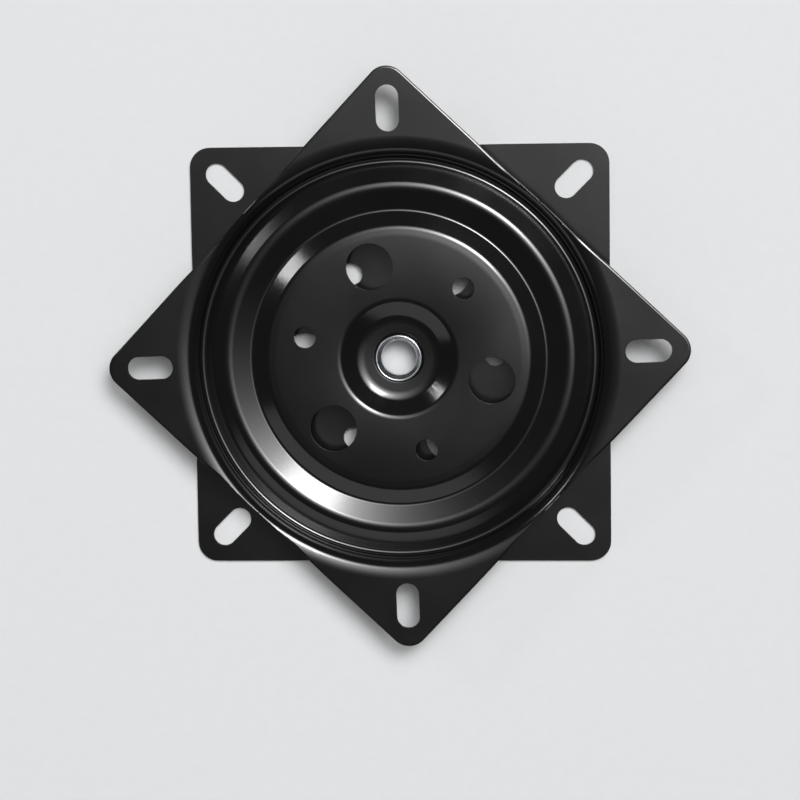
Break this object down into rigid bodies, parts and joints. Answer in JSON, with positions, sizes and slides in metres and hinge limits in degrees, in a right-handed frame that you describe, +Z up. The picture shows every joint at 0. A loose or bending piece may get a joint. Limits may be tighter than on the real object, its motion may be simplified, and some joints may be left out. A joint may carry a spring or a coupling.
{
  "type": "lazy susan bearing",
  "caption": "Flat swivel bearing: square pressed steel plates face each other across a ring of caged balls and turn about a hollow centre rivet.",
  "frame": {"origin": "on the bearing's axis, in the face that the base plate's corners stand on", "axes": "+Z up along the turning axis, from the base plate to the top plate; +X and +Y through the mounting slots of the top plate at rest"},
  "size_m": [0.2096, 0.2096, 0.0184],
  "materials": {
    "black_paint": "black satin gloss paint on pressed sheet steel",
    "zinc_steel": "bright zinc plating on steel",
    "nylon": "natural moulded nylon",
    "bearing_steel": "ground and polished steel"
  },
  "bodies": {
    "base": {"base_plate": "black_paint", "centre_rivet": "zinc_steel"},
    "top": {"top_plate": "black_paint"},
    "cage": {"ball_cage": "nylon", "ball_01": "bearing_steel", "ball_02": "bearing_steel", "ball_03": "bearing_steel", "ball_04": "bearing_steel", "ball_05": "bearing_steel", "ball_06": "bearing_steel", "ball_07": "bearing_steel", "ball_08": "bearing_steel", "ball_09": "bearing_steel", "ball_10": "bearing_steel", "ball_11": "bearing_steel", "ball_12": "bearing_steel", "ball_13": "bearing_steel", "ball_14": "bearing_steel", "ball_15": "bearing_steel", "ball_16": "bearing_steel", "ball_17": "bearing_steel", "ball_18": "bearing_steel", "ball_19": "bearing_steel", "ball_20": "bearing_steel", "ball_21": "bearing_steel", "ball_22": "bearing_steel", "ball_23": "bearing_steel", "ball_24": "bearing_steel", "ball_25": "bearing_steel", "ball_26": "bearing_steel", "ball_27": "bearing_steel", "ball_28": "bearing_steel", "ball_29": "bearing_steel", "ball_30": "bearing_steel"}
  },
  "joints": [
    {"name": "swivel", "type": "hinge", "parent": "base", "child": "top", "pos_m": [0, 0, 0.0092], "axis": [0, 0, 1], "continuous": true},
    {"name": "cage_turn", "type": "hinge", "parent": "base", "child": "cage", "pos_m": [0, 0, 0.0092], "axis": [0, 0, 1], "continuous": true}
  ],
  "couplings": [
    {"joint": "cage_turn", "follows": "swivel", "ratio": 0.5}
  ]
}
